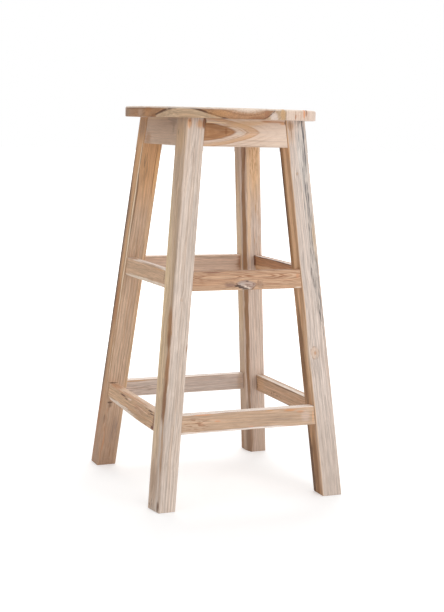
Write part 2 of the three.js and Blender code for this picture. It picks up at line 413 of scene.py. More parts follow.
class Recipe:
    """The nodes of one material or of the world, with short ways to add and join them."""

    def __init__(self, owner, surface="Principled BSDF"):
        owner.use_nodes = True
        self.tree = owner.node_tree
        self.surface = self.tree.nodes[surface]
        self.seed = 0

    def add(self, kind, **settings):
        node = self.tree.nodes.new("ShaderNode" + kind)
        for key, value in settings.items():
            setattr(node, key, value)
        return node

    def feed(self, socket, value):
        if isinstance(value, bpy.types.NodeSocket):
            self.tree.links.new(value, socket)
        else:
            socket.default_value = value

    def give(self, name, value):
        self.feed(self.surface.inputs[name], value)

    def math(self, operation, *values):
        node = self.add("Math", operation=operation)
        for socket, value in zip(node.inputs, values):
            self.feed(socket, value)
        return node.outputs["Value"]

    def times(self, first, second):
        return self.math("MULTIPLY", first, second)

    def apart(self, first, second):
        return self.math("ABSOLUTE", self.math("SUBTRACT", first, second))

    def vector(self, operation, *values):
        node = self.add("VectorMath", operation=operation)
        for socket, value in zip(node.inputs, values):
            self.feed(socket, value)
        return node.outputs["Value" if operation in ("LENGTH", "DOT_PRODUCT") else "Vector"]

    def split(self, place):
        node = self.add("SeparateXYZ")
        self.feed(node.inputs[0], place)
        return node.outputs

    def ramp(self, value, low, high, to_low=0.0, to_high=1.0):
        """Goes smoothly from one number to another while a value goes from low to high."""
        node = self.add("MapRange", interpolation_type="SMOOTHSTEP")
        for socket, number in zip(node.inputs, (value, low, high, to_low, to_high)):
            self.feed(socket, number)
        return node.outputs["Result"]

    def blend(self, share, first, second, kind="MIX"):
        node = self.add("Mix", data_type="RGBA", blend_type=kind)
        for number, value in zip(MIX_INPUTS, (share, first, second)):
            self.feed(node.inputs[number], value)
        return node.outputs[MIX_OUTPUT]

    def noise(self, place, size, detail=2.0, colour=False):
        """Noise whose features are as long as the three sizes given. Each one is its own."""
        self.seed += SEED_STEP
        start = [self.seed * share for share in SEED_SHARES]
        stretched = self.vector("MULTIPLY_ADD", place, [1 / length for length in size], start)
        node = self.add("TexNoise")
        self.feed(node.inputs["Vector"], stretched)
        node.inputs["Scale"].default_value = 1
        node.inputs["Detail"].default_value = detail
        return node.outputs["Color" if colour else 0]

    def shifted(self, place, size, amount, detail=1.0):
        """A place moved by noise, by about as many millimetres as given each way."""
        noise = self.noise(place, size, detail, colour=True)
        drift = self.vector("SUBTRACT", noise, (NOISE_MIDDLE,) * 3)
        return self.vector("MULTIPLY_ADD", drift, [NOISE_SPREAD * part for part in amount], place)

    def distance(self, place, middle, size):
        """How far a place is from a middle, where 1 is at the given sizes from it."""
        inverse = [1 / length for length in size]
        start = [-along * share for along, share in zip(middle, inverse)]
        return self.vector("LENGTH", self.vector("MULTIPLY_ADD", place, inverse, start))

    def seen_directly(self):
        """1 for what the camera, a reflection or glass sees of a surface, and 0 for its light."""
        rays = self.add("LightPath").outputs
        seen = self.math("MAXIMUM", rays["Is Camera Ray"], rays["Is Glossy Ray"])
        return self.math("MAXIMUM", seen, rays["Is Transmission Ray"])

    def bump(self, height, strength, distance):
        node = self.add("Bump")
        node.inputs["Strength"].default_value = strength
        node.inputs["Distance"].default_value = distance
        self.feed(node.inputs["Height"], height)
        self.give("Normal", node.outputs["Normal"])


# Wood. Every stick has its own place in a log: its rings lie round a pith line set beside or
# inside it. Places on a stick are in millimetres from one corner of the face that shows most:
# along the grain, across that face, and into the wood.

# How long, wide and deep the features of the wood are, in millimetres
LONG_BENDS = (420, 120, 120)
SHORT_BENDS = (70, 16, 16)
RAGGED_EDGES = (45, 1.6, 1.6)
MOTTLES = (260, 22, 22)
STREAKS = (190, 4.5, 4.5)
STRIPES = (210, 2.6, 2.6)
HAIRS = (120, 1.1, 1.1)
FIBRES = (40, 0.9, 0.9)
PORES = (7, 0.32, 0.32)
LINE_WAVES = (22, 9, 9)
MARK_DEPTH = 9
RIM_WIDTH = 2
ARRIS_REACH = (0.9, 3.2)
HEART_LINE_REACH = (0.3, 1.9)
LINE_DRIFT = 0.8

# The noise values between which features fade in, and the shares of a year that late wood takes
MOTTLE_RANGE = (0.25, 0.75)
STREAK_RANGE = (0.46, 0.72)
STRIPE_RANGE = (0.3, 0.7)
HAIR_RANGE = (0.6, 0.74)
FIBRE_RANGE = (0.2, 0.8)
PORE_RANGE = (0.64, 0.72)
LINE_RANGE = (0.5, 0.62)
RIM_RANGE = (0.42, 0.58)
LATE_START = (0.3, 0.92)
LATE_END = (0.95, 1)
PALEST_YEAR = 0.3

# How far edges are ragged, in millimetres, rings shifted, in years, and over how many years
SKIN_RAGGEDNESS = 1
BAND_RAGGEDNESS = 1.6
ARRIS_RAGGEDNESS = 2
RING_SHIFT = 2.4
RING_SHIFT_LENGTH = 2.6

# A knot's edge, its rim's width, and how long and how strong its bends are, in shares of its size,
# and how deep it is for its height
KNOT_EDGE = (0.85, 1.05)
KNOT_RIM = (0.02, 0.16)
KNOT_BEND_LENGTH = 1.2
KNOT_BEND = 0.3
KNOT_DEPTH = 1.6

# How much of their colour features bring, and how far a face has turned to count as an end
KNOT_RINGS = 0.45
THINNEST_RIM = 0.1
PORE_DARKNESS = 0.35
END_DARKNESS = 0.3
END_SLANT = (0.6, 0.95)

# How rough fibres are, from dark to light, how far pores and rings stand out for them, and how
# high the relief of a surface is, in metres
ROUGHNESS = (0.74, 0.58)
PORE_RELIEF = -0.8
RING_RELIEF = 0.35
WOOD_RELIEF = 0.0002
STEEL_RELIEF = 0.00004

# The power that makes rings round
CIRCLE = 2

# The plain log. Its pith lies so far across and into the wood from the stick's corner, and drifts
# by a share of the way along. Its rings are so many millimetres apart, its heart reaches so far
# from the pith with so soft an edge, and its grain wanders in short bends and in long ones. What is
# called depth, mottle, figure, fibre or heart_line is how strongly it shows, as a share. A point
# below CIRCLE gives its rings pointed ends.
PLAIN_LOG = dict(
    pith=(90, 60), drift=(0, 0), point=CIRCLE, ring=6, ring_depth=0.5,
    heart=0, heart_edge=4, heart_line=0, heart_tone=(176, 134, 98),
    sap=(214, 190, 170), line=(158, 116, 84), streak=(198, 148, 108), streak_depth=0.35,
    mottle=0.1, figure=0.13, fibre=0.24, wander=(1.5, 3),
    # The arris colour is partly wear and partly a painted highlight along the edges.
    arris=(232, 206, 176), arris_depth=0.45,
)


class Wood(Recipe):
    """Solid wood for one stick. Each step colours what the steps before it left."""

    def __init__(self, material, node, number, log):
        super().__init__(material)
        self.seed = number * STICK_SEED_STEP
        self.log = log
        self.find_place(*stick_frame(node))
        self.find_radius()
        self.grow_rings()
        self.colour_heart()
        self.colour_streaks()
        self.colour_faces_and_paint_light()
        self.grow_knots()
        self.add_marks()
        self.add_fibres()
        self.rub_arrises_and_paint_highlights(SECTIONS.get(node.partition("_")[0]))
        self.darken_ends()
        self.feed_surface()

    def paint(self, share, colour):
        self.colour = self.blend(share, self.colour, tone(*colour))

    def roughen(self, distance, amount):
        """Makes the edge that a distance leads to ragged by some millimetres."""
        return self.math("MULTIPLY_ADD", self.ragged, amount, distance)

    def vary(self, noise, limits, share):
        """Makes the wood darker where a noise is low and lighter where it is high."""
        shade = self.ramp(noise, *limits, 1 - share, 1 + share)
        self.colour = self.blend(1, self.colour, shade, "MULTIPLY")

    def find_place(self, origin, axes):
        """The place on the straight stick, and on the grain, which wanders a little."""
        self.coordinates = self.add("TexCoord").outputs
        self.grain = axes.col[0]
        on_stick = self.add("Mapping", vector_type="TEXTURE")
        self.feed(on_stick.inputs["Vector"], self.coordinates["Object"])
        on_stick.inputs["Location"].default_value = origin * MILLIMETRE
        on_stick.inputs["Rotation"].default_value = axes.to_euler()
        on_stick.inputs["Scale"].default_value = (MILLIMETRE,) * 3
        self.straight = on_stick.outputs["Vector"]
        self.here = self.split(self.straight)
        fine, long = self.log.wander
        self.place = self.shifted(self.straight, LONG_BENDS, (0, long, long))
        self.place = self.shifted(self.place, SHORT_BENDS, (0, fine, fine))
        self.ragged = self.math("SUBTRACT", self.noise(self.place, RAGGED_EDGES), NOISE_MIDDLE)

    def find_radius(self):
        """The distance from the pith line, which runs aslant through the log."""
        log = self.log
        parts = self.split(self.place)
        around = self.add("CombineXYZ")
        for axis, start, slope in zip("YZ", log.pith, log.drift):
            off = self.math("MULTIPLY_ADD", parts["X"], -slope, parts[axis])
            self.feed(around.inputs[axis], self.math("SUBTRACT", off, start))
        around = around.outputs["Vector"]
        self.radius = self.vector("LENGTH", around)
        if log.point != CIRCLE:
            # Rings whose ends come to a point where they leave the face
            sides = self.split(self.vector("ABSOLUTE", around))
            powers = [self.math("POWER", sides[axis], log.point) for axis in "YZ"]
            self.radius = self.math("POWER", self.math("ADD", *powers), 1 / log.point)
        for grown in log.knots:
            reach = (*grown.reach, KNOT_DEPTH * grown.reach[1])
            away = self.distance(self.straight, (*grown.at, 0), reach)
            bulge = self.math("EXPONENT", self.times(self.times(away, away), -1.0))
            self.radius = self.math("MULTIPLY_ADD", bulge, grown.push, self.radius)

    def grow_rings(self):
        """Growth rings of uneven width, each darkest at its outer edge."""
        ring = self.log.ring
        along_radius = self.add("CombineXYZ")
        self.feed(along_radius.inputs["X"], self.radius)
        uneven = self.noise(along_radius.outputs["Vector"], (RING_SHIFT_LENGTH * ring, 1, 1), detail=1)
        phase = self.math("DIVIDE", self.radius, ring)
        phase = self.math("MULTIPLY_ADD", uneven, RING_SHIFT, phase)
        year = self.add("TexWhiteNoise", noise_dimensions="1D")
        self.feed(year.inputs["W"], self.math("FLOOR", phase))
        season = self.math("FRACT", phase)
        late = self.times(self.ramp(season, *LATE_START), self.ramp(season, *LATE_END, 1, 0))
        self.late = self.times(late, self.ramp(year.outputs["Value"], 0, 1, PALEST_YEAR, 1))

    def colour_heart(self):
        """Sapwood outside, heartwood inside, bands of single years, and a broad mottle."""
        log = self.log
        self.colour = tone(*log.sap)
        if log.heart:
            margin = log.heart_edge / 2
            self.edge = self.roughen(self.radius, log.heart_edge)
            inside = self.ramp(self.edge, log.heart - margin, log.heart + margin, 1.0, 0.0)
            self.paint(inside, log.heart_tone)
        for ring in log.bands:
            margin = ring.soft / 2
            edge = self.roughen(self.radius, BAND_RAGGEDNESS)
            outside = self.ramp(edge, ring.inner - margin, ring.inner + margin)
            inside = self.ramp(edge, ring.outer - margin, ring.outer + margin, ring.depth, 0.0)
            self.paint(self.times(outside, inside), ring.colour)
        self.vary(self.noise(self.place, MOTTLES), MOTTLE_RANGE, log.mottle)

    def colour_streaks(self):
        """Streaks of colour, stripes of light and dark, hairlines, and the rings' dark lines."""
        log = self.log
        streaks = self.noise(self.place, STREAKS, detail=3)
        self.paint(self.ramp(streaks, *STREAK_RANGE, 0, log.streak_depth), log.streak)
        self.vary(self.noise(self.place, STRIPES), STRIPE_RANGE, log.figure)
        hairs = self.ramp(self.noise(self.place, HAIRS, detail=1), *HAIR_RANGE)
        for lines in (hairs, self.late):
            self.paint(self.times(lines, log.ring_depth), log.line)
        if log.heart_line:
            off_edge = self.apart(self.edge, log.heart)
            self.paint(self.ramp(off_edge, *HEART_LINE_REACH, log.heart_line, 0), log.line)

    def colour_faces_and_paint_light(self):
        """Faces of another colour than the wood under them: some are the face's own colour, and some are
        painted highlight or painted shade.
        """
        for face_paint in self.log.skins:
            inward = self.roughen(self.here[face_paint.axis], SKIN_RAGGEDNESS)
            share = self.ramp(inward, face_paint.full, face_paint.none, face_paint.depth, 0.0)
            if face_paint.rim:
                from_middle = self.vector("LENGTH", self.vector("MULTIPLY", self.straight, (1, 1, 0)))
                share = self.times(share, self.ramp(from_middle, face_paint.rim - RIM_WIDTH, face_paint.rim))
            self.paint(share, face_paint.colour)

    def grow_knots(self):
        """Knots, with rings of their own and a broken dark rim."""
        for grown in self.log.knots:
            wide, high = grown.size
            bends = (KNOT_BEND_LENGTH * wide, KNOT_BEND_LENGTH * high, high)
            uneven = self.shifted(self.straight, bends, (KNOT_BEND * wide, KNOT_BEND * high, 0), detail=2)
            away = self.distance(uneven, (*grown.at, 0), (wide, high, KNOT_DEPTH * high))
            rings = self.math("SINE", self.times(away, grown.rings))
            ringed = self.ramp(rings, 0, 1, 0, KNOT_RINGS)
            inner = self.blend(ringed, tone(*grown.colour), tone(*grown.rim))
            inside = self.ramp(away, *KNOT_EDGE, grown.depth, 0)
            self.colour = self.blend(inside, self.colour, inner)
            off_rim = self.apart(away, 1)
            broken = self.noise(self.straight, (wide, high, high))
            broken = self.ramp(broken, *RIM_RANGE, THINNEST_RIM, 1)
            rim = self.ramp(off_rim, *KNOT_RIM, grown.depth, 0)
            self.paint(self.times(rim, broken), grown.rim)

    def add_marks(self):
        """The stains, dark lines, pale patches and cracks that one stick alone has, and the painted shade
        and painted highlights laid on it the same way.
        """
        self.dents = 0.0
        for patch in self.log.marks:
            middle, size = (*patch.at, 0)[:3], (*patch.size, MARK_DEPTH)[:3]
            away = self.roughen(self.distance(self.place, middle, size), patch.ragged)
            share = self.ramp(away, patch.core, 1.0, patch.depth, 0.0)
            if patch.lines:
                length, width = patch.lines
                wavy = self.shifted(self.straight, LINE_WAVES, (0, LINE_DRIFT, LINE_DRIFT))
                lines = self.noise(wavy, (length, width, width), detail=1)
                share = self.times(share, self.ramp(lines, *LINE_RANGE))
            self.paint(share, patch.colour)
            if patch.dent:
                self.dents = self.math("MULTIPLY_ADD", share, -patch.dent, self.dents)

    def add_fibres(self):
        self.fibres = self.noise(self.place, FIBRES, detail=3)
        self.vary(self.fibres, FIBRE_RANGE, self.log.fibre)
        self.pores = self.ramp(self.noise(self.straight, PORES, detail=1), *PORE_RANGE)
        self.paint(self.times(self.pores, PORE_DARKNESS), self.log.line)

    def rub_arrises_and_paint_highlights(self, section):
        """Arrises are painted pale: partly wear from handling, partly a painted highlight along the
        edges.
        """
        if not section:
            return
        insets = []
        for axis, width in zip("YZ", section):
            from_middle = self.apart(self.here[axis], width / 2)
            insets.append(self.math("SUBTRACT", width / 2, from_middle))
        inset = self.roughen(self.math("ADD", *insets), ARRIS_RAGGEDNESS)
        self.paint(self.ramp(inset, *ARRIS_REACH, self.log.arris_depth, 0.0), self.log.arris)

    def darken_ends(self):
        """Ends cut across the grain take more dirt and are darker."""
        facing = self.vector("DOT_PRODUCT", self.coordinates["Normal"], self.grain)
        end = self.ramp(self.math("ABSOLUTE", facing), *END_SLANT)
        self.paint(self.times(end, END_DARKNESS), self.log.line)

    def feed_surface(self):
        """Dark fibres are rougher, pores lie lower, and rings and fibres stand out."""
        self.give("Base Color", self.colour)
        self.give("Roughness", self.ramp(self.fibres, *FIBRE_RANGE, *ROUGHNESS))
        relief = self.math("MULTIPLY_ADD", self.pores, PORE_RELIEF, self.fibres)
        relief = self.math("MULTIPLY_ADD", self.late, RING_RELIEF, relief)
        self.bump(self.math("ADD", relief, self.dents), strength=0.5, distance=WOOD_RELIEF)


# What one stick alone has. A place with two numbers is on the face that shows most, and a mark's
# size with two numbers is as deep as MARK_DEPTH.

# A coloured patch round a place: full in its core, which is a share of its size, and gone past its
# ragged edge. Where lines are given, it shows as fine lines as long and wide as they say.
Mark = namedtuple("Mark", "at size colour depth core ragged lines dent",
                  defaults=(0.8, 0.35, 1.2, None, 0))

# A knot, and how far around it the rings bend out by how much
Knot = namedtuple("Knot", "at size reach push colour rim depth rings", defaults=(0.8, 14))

# A coloured ring between two distances from the pith
Band = namedtuple("Band", "inner outer colour depth soft", defaults=(0.6, 1))

# A colour near one face: full up to one distance across or into the stick, gone by another.
# With a rim, it keeps to what lies as far as that from the middle of the seat. Some are the face's own
# colour, and some are painted highlight or painted shade.
Skin = namedtuple("Skin", "axis full none colour depth rim", defaults=(0.9, None))


def crack(at, size, colour, depth=0.9, dent=6):
    """A dark mark that also dents the surface."""
    return Mark(at, size, colour, depth, core=0.5, ragged=0.8, dent=dent)


# Painted highlight: a rail's top face painted near white, standing in for the light that falls on it from
# above.
PAINTED_TOP_HIGHLIGHT = Skin("Y", 0.4, 1.5, (252, 240, 230))
# Painted highlight: the seat's rounded top rim painted pale, standing in for the light it catches.
PAINTED_RIM_HIGHLIGHT = Skin("Z", 1.2, 4.6, (244, 230, 216), rim=184)
DARK_RINGS = [Band(start, start + 0.7, (142, 90, 56), 0.85, 0.4) for start in (5.2, 6.9, 8.6, 10.3)]

LOGS = {}


def stick_log(node, changes, *features):
    """Says how one stick's wood differs from the plain log's, and what it alone has."""
    kinds = dict(skins=Skin, bands=Band, knots=Knot, marks=Mark)
    own = {name: [one for one in features if isinstance(one, kind)] for name, kind in kinds.items()}
    LOGS[node] = SimpleNamespace(**PLAIN_LOG | changes | own)


stick_log(
    "leg_front_left",
    dict(pith=(-58, 14), drift=(0.004, -0.004), ring=6.2, ring_depth=0.45, heart=62, heart_edge=5,
         sap=(214, 197, 184), heart_tone=(210, 182, 156), line=(160, 134, 112), streak=(208, 172, 140),
         streak_depth=0.3, mottle=0.08, figure=0.08, arris_depth=0.1),
    Knot((400, 21), (3.2, 2.4), (13, 8), 4, (204, 176, 152), (172, 140, 116), 0.55),
    Mark((200, 5, 5), (210, 3.6, 6), (190, 144, 102), 0.75, core=0.5),
    Mark((348, 4, 9), (46, 7, 12), (164, 116, 74), 0.95, core=0.6),
    Mark((322, 4, 7), (24, 6, 9), (138, 96, 62), 0.9, core=0.4),
    Mark((270, 4.6, 7), (60, 4.2, 10), (168, 118, 76), 0.85, core=0.5),
    Mark((205, 5, 8), (52, 4.6, 11), (140, 96, 60), 0.9, core=0.5),
    Mark((80, 6.2, 2), (100, 2, 4), (162, 114, 74), 0.85, core=0.5),
    Mark((12, 6, 3), (16, 2.6, 6), (112, 76, 50), 0.9, core=0.5),
    Mark((729, 9), (13, 6), (212, 156, 108), 0.75),
    Mark((733, 9), (3, 4, 5), (180, 118, 76), 0.7),
    # These two are painted shade under the seat at the leg's top right corner, orange going dark brown.
    Mark((729, 31), (11, 11, 10), (206, 158, 116)),
    Mark((732, 39), (12, 4), (132, 84, 50), 0.95, core=0.6),
    Mark((655, 21), (60, 9, 8), (176, 156, 142), lines=(60, 1.6)),
    Mark((480, 24), (150, 14, 8), (190, 168, 150), 0.45, lines=(80, 1.3)),
    Mark((230, 24), (160, 14, 8), (192, 170, 152), 0.35, lines=(80, 1.3)),
    Mark((311, 39), (12, 2, 6), (150, 110, 82)),
    Mark((700, 2, 22), (50, 9, 26), (208, 170, 130), 0.7, core=0.4),
    Mark((713, 2, 27), (9, 9, 6), (138, 110, 86), 0.75, core=0.2),
    Mark((480, 3, 16), (260, 9, 14), (176, 142, 106), lines=(150, 2.2)),
    Mark((400, 1, 36), (360, 6, 8), (230, 200, 153)),
    Mark((470, 1, 26), (280, 6, 3), (226, 202, 170), 0.7),
    Mark((310, 1, 26), (260, 9, 16), (244, 212, 170), 0.5, core=0.6),
    Mark((300, 1, 25), (200, 9, 14), (160, 132, 104), 0.6, core=0.6, lines=(110, 1.7)),
    Mark((60, 2, 26), (60, 9, 22), (186, 156, 134), 0.6),
    Mark((14, 2, 30), (14, 9, 14), (150, 120, 100), 0.7, lines=(6, 3)),
)
stick_log(
    "leg_front_right",
    dict(pith=(-46, 26), ring=6.5, ring_depth=0.42, heart=53.5, heart_edge=2, sap=(215, 199, 188),
         heart_tone=(196, 150, 108), line=(146, 122, 106), streak=(206, 176, 150), streak_depth=0.2,
         mottle=0.05, arris_depth=0.3),
    Knot((634, 13.5), (3.2, 2.6), (12, 7), 5, (190, 162, 138), (150, 120, 98), 0.75),
    Knot((284, 13.5), (12, 8.5), (30, 12), 12, (214, 186, 164), (172, 136, 112), 0.7, rings=7),
    Mark((560, 33), (210, 12, 14), (200, 188, 178), 0.6, core=0.6),
    Mark((716, 8), (36, 11, 14), (212, 186, 164), 0.7),
    # These two are painted shade under the seat at the leg's top: a brown band and dark lines.
    Mark((726, 8), (13, 12, 14), (178, 138, 102), 0.7),
    Mark((727, 27), (13, 13), (92, 68, 48), 0.85, lines=(20, 2.2)),
    Mark((690, 23), (60, 6), (118, 110, 108), 0.55, core=0.5, lines=(70, 1.7)),
    Mark((718, 8), (30, 10, 10), (146, 108, 80), lines=(70, 2.2)),
    Mark((670, 27), (80, 14), (218, 210, 202), 0.5, core=0.6),
    Mark((692, 31), (66, 12), (84, 82, 86), 0.9, core=0.7, lines=(130, 2.3)),
    Mark((620, 31), (90, 7), (94, 90, 92), 0.85, core=0.6, lines=(90, 2)),
    Mark((625, 25), (46, 1, 4), (96, 90, 90), ragged=2),
    Mark((548, 22.6), (46, 1, 4), (92, 88, 88), 0.9, ragged=2),
    Mark((520, 32), (60, 7), (110, 102, 98), core=0.6, lines=(50, 1.5)),
    Mark((425, 31), (90, 10), (92, 84, 80), 0.9, core=0.7, lines=(40, 2.1)),
    Mark((350, 35), (50, 5), (120, 112, 108), core=0.6, lines=(40, 1.4)),
    Mark((508, 36), (50, 4, 8), (208, 178, 144), 0.75),
    Mark((250, 37), (110, 4, 8), (204, 168, 142), 0.6, lines=(60, 1.8)),
    Mark((240, 16), (80, 10, 6), (178, 164, 154), lines=(70, 1.2)),
    Mark((100, 26), (130, 14, 6), (176, 160, 150), lines=(60, 1.4)),
    Mark((60, 20), (180, 40, 12), (198, 180, 166), 0.5),
    Mark((690, 0, 5), (40, 3, 7), (214, 158, 104)),
    Mark((590, 0, 35), (230, 4, 8), (156, 110, 62), 0.9, core=0.6),
    Mark((620, 0, 38), (170, 4, 5), (86, 52, 26), 0.9, core=0.5),
    Mark((540, 0, 20), (240, 4, 9), (232, 190, 147), 0.85, core=0.6),
    Mark((560, 0, 8), (230, 4, 4), (206, 158, 116), 0.7),
    Mark((270, 0, 30), (130, 4, 13), (130, 90, 54), 0.9, core=0.6),
    Mark((280, 0, 8), (130, 4, 8), (230, 194, 156), 0.75),
    Mark((50, 0, 35), (120, 4, 11), (100, 68, 40), 0.95, core=0.6),
    Mark((50, 0, 18), (120, 4, 12), (137, 96, 60), 0.85),
    Mark((284, 13.5), (5, 4, 6), (198, 148, 112), 0.75, core=0.2),
)
stick_log(
    "leg_back_left",
    dict(pith=(-34, 36), drift=(0, 0.012), ring=5.2, ring_depth=0.4, heart=78, heart_edge=6,
         sap=(216, 182, 146), heart_tone=(205, 175, 149), line=(146, 108, 80), streak=(200, 148, 104),
         streak_depth=0.3, mottle=0.08, arris_depth=0.15),
    Skin("Y", 0.3, 1.6, (182, 138, 100)),
    Mark((690, 20, 10), (180, 60, 60), (216, 163, 111), 0.75, ragged=0.3),
    # Painted highlight: a pale yellow-orange line along the right arris near the top.
    Mark((640, 36), (80, 3), (232, 184, 130), 0.85),
    Mark((640, 31.5), (100, 1, 6), (140, 94, 58), 0.85, ragged=1.8),
    Mark((440, 37.5), (200, 0.8, 6), (172, 112, 70), ragged=1.8),
    Mark((635, 11), (45, 9, 6), (142, 112, 84), lines=(40, 1.8)),
    Mark((480, 20), (110, 18, 6), (168, 134, 104), 0.7, lines=(70, 2)),
    Mark((385, 24), (18, 7, 6), (182, 166, 150), 0.7, lines=(30, 2)),
    Mark((260, 22), (90, 18, 6), (158, 132, 110), 0.55, lines=(60, 1.6)),
    Mark((590, 0.2, 1.6), (150, 1.6, 2.6), (116, 80, 50), 0.9, core=0.5),
    # Painted highlight: a near-white line on the side face beside its front arris.
    Mark((440, 0, 6), (320, 3, 4.2), (250, 226, 194), 0.95, core=0.6),
    Mark((420, 0, 19), (400, 4, 7), (218, 170, 122)),
    Mark((350, 0, 24), (70, 4, 17), (170, 113, 62), core=0.6),
    Mark((400, 0, 38), (400, 4, 11), (100, 68, 38), 0.9, core=0.5),
    Mark((60, 0, 34), (120, 4, 12), (173, 104, 50)),
    Mark((715, 0, 20), (34, 5, 32), (146, 110, 82), 0.7),
    Mark((103, 1.6), (14, 3, 5), (96, 66, 46), 0.95, core=0.5),
    Mark((182.6, 9), (1.5, 14), (84, 58, 42), 0.9, core=0.5, ragged=0.5),
    Mark((139.5, 8), (3, 6), (84, 58, 42), 0.9, core=0.5, ragged=0.5),
    Mark((133, 9), (7, 5), (120, 88, 64), 0.7, core=0.2),
    Mark((20, 20, 10), (150, 60, 60), (170, 137, 113), ragged=0.3),
    Mark((70, 4, 6), (100, 9, 20), (190, 134, 94), 0.6, lines=(50, 3.4)),
    Mark((80, 26), (40, 12, 6), (140, 118, 106), lines=(30, 1.8)),
    Mark((25, 22), (28, 20, 6), (150, 112, 82), lines=(30, 1.8)),
)
stick_log(
    "leg_back_right",
    dict(pith=(86, -24), drift=(0, 0.006), ring_depth=0.4, sap=(220, 199, 184), line=(166, 128, 100),
         streak=(210, 174, 142), streak_depth=0.3, mottle=0.08, arris_depth=0),
    Skin("Y", 0.3, 1.6, (200, 172, 146)),
    Mark((680, 26, 2), (170, 24, 30), (230, 186, 136), 0.75, ragged=0.3),
    Mark((650, 24), (60, 16, 5), (186, 136, 88), 0.7, lines=(14, 1.8)),
    Mark((520, 26), (90, 14, 5), (184, 138, 92), 0.7, lines=(34, 2.4)),
    Mark((500, 14), (70, 6, 5), (236, 206, 176), 0.7, lines=(60, 3)),
    Mark((420, 4.4, 5), (420, 5, 10), (158, 116, 78), 0.95, core=0.6),
    Mark((665, 6.5, 2), (60, 2.2, 5), (134, 92, 58), 0.85),
    Mark((560, 12.5), (170, 5.5, 5), (234, 198, 160), 0.75, core=0.5, ragged=0.5),
    Mark((430, 0, 25), (220, 4, 13), (232, 204, 170), 0.75, core=0.6, ragged=0.5),
    Mark((350, 0, 24), (66, 5, 16), (206, 170, 132), 0.7, core=0.5),
    Mark((600, 1, 32), (60, 3, 5), (214, 160, 112), 0.6),
    Mark((400, 0, 40), (420, 4, 5), (142, 114, 80)),
    Mark((0, 20, 10), (170, 60, 60), (180, 152, 132), 0.7, ragged=0.3),
    Mark((0, 0, 34), (170, 12, 14), (154, 112, 78), 0.75),
    Mark((30, 4, 4), (140, 9, 14), (135, 100, 72)),
)
stick_log(
    "apron_front",
    dict(pith=(24.5, 2), drift=(0, 0.25), point=1.4, ring=7.5, ring_depth=0.12, heart=17.4,
         heart_edge=1.6, heart_line=0.7, sap=(222, 199, 180), heart_tone=(176, 128, 86),
         line=(152, 102, 64), streak=(216, 180, 146), streak_depth=0.2, mottle=0.05, figure=0.05,
         fibre=0.1, wander=(0.5, 0.8), arris_depth=0),
    Band(9.5, 15, (146, 98, 58), 0.7, 3),
    Band(0, 5, (172, 122, 78), 0.6, 2),
    Band(21.2, 22.2, (184, 142, 108), 0.7),
    Band(23.2, 24.4, (176, 130, 92), 0.7),
    Band(24.6, 29.2, (208, 164, 122), 0.75, 2),
    Band(28.8, 30.2, (186, 136, 92), 0.75),
    Band(34, 34.8, (200, 164, 134), 0.5),
    Band(38.5, 39.4, (196, 166, 142), 0.5),
    Mark((22, 7.4), (32, 1.6, 8), (244, 216, 178), 0.9, core=0.6),
    Mark((14, 10.8), (22, 2.4, 8), (142, 96, 60), 0.85),
    Mark((40, 14.6), (16, 2.4, 8), (146, 100, 62)),
    Mark((22, 37.4), (24, 1.5, 8), (150, 104, 66), 0.7),
    Mark((70, 12), (40, 7, 18), (222, 184, 142), 0.6),
    Mark((70, 27), (14, 6, 8), (216, 200, 186)),
    Mark((84, 24), (7, 9, 8), (190, 150, 116), 0.7, lines=(3, 2.2)),
    Mark((13, 24), (9, 9, 8), (158, 108, 66), 0.5),
    Mark((42, 24), (4, 9, 8), (136, 88, 50), 0.7),
    Mark((95, 7), (50, 6, 12), (218, 178, 134), 0.6),
    # These three are painted shade under the seat along the top: a brown band, and an orange line ending
    # in a dark notch at the right end.
    Mark((140, 3.4), (34, 2.4, 10), (180, 120, 72), 0.85, core=0.5),
    Mark((160, 6.5), (9, 3.4, 10), (206, 142, 84), 0.85),
    Mark((166.5, 5), (3.6, 5, 10), (110, 66, 34), 0.9, core=0.5),
    Mark((-1, 6), (4, 9, 10), (112, 70, 42), 0.9, core=0.5),
    Mark((0, 24), (3, 20, 10), (150, 106, 72), 0.6),
    Mark((120, 40), (60, 0.9, 8), (182, 152, 132)),
    Mark((30, 45), (60, 0.8, 8), (196, 160, 128)),
    Mark((150, 24), (60, 26, 18), (224, 204, 188), 0.6),
    Mark((60, 50.6), (110, 0.7, 8), (170, 132, 100)),
)
stick_log(
    "apron_left",
    dict(ring=7, ring_depth=0.12, sap=(202, 173, 149), line=(160, 128, 104), streak=(188, 150, 122),
         figure=0.06, fibre=0.13, arris_depth=0.1),
    Mark((144, 6), (32, 12), (164, 139, 120), 0.7),
    Mark((120, 1.5), (9, 3), (140, 120, 104), 0.5),
    Mark((150, 20), (7, 12), (160, 134, 112), 0.6),
    Mark((15, 42), (24, 19), (176, 132, 96)),
    Mark((60, 1), (60, 1), (206, 184, 142), 0.6),
)
stick_log(
    "apron_back",
    dict(pith=(-50, 40), ring_depth=0.35, sap=(204, 176, 152), streak=(196, 150, 114)),
)
stick_log(
    "apron_right",
    dict(pith=(26, 34), drift=(0, -0.1), ring_depth=0.4, heart=26, sap=(208, 178, 150),
         streak=(200, 152, 112)),
)
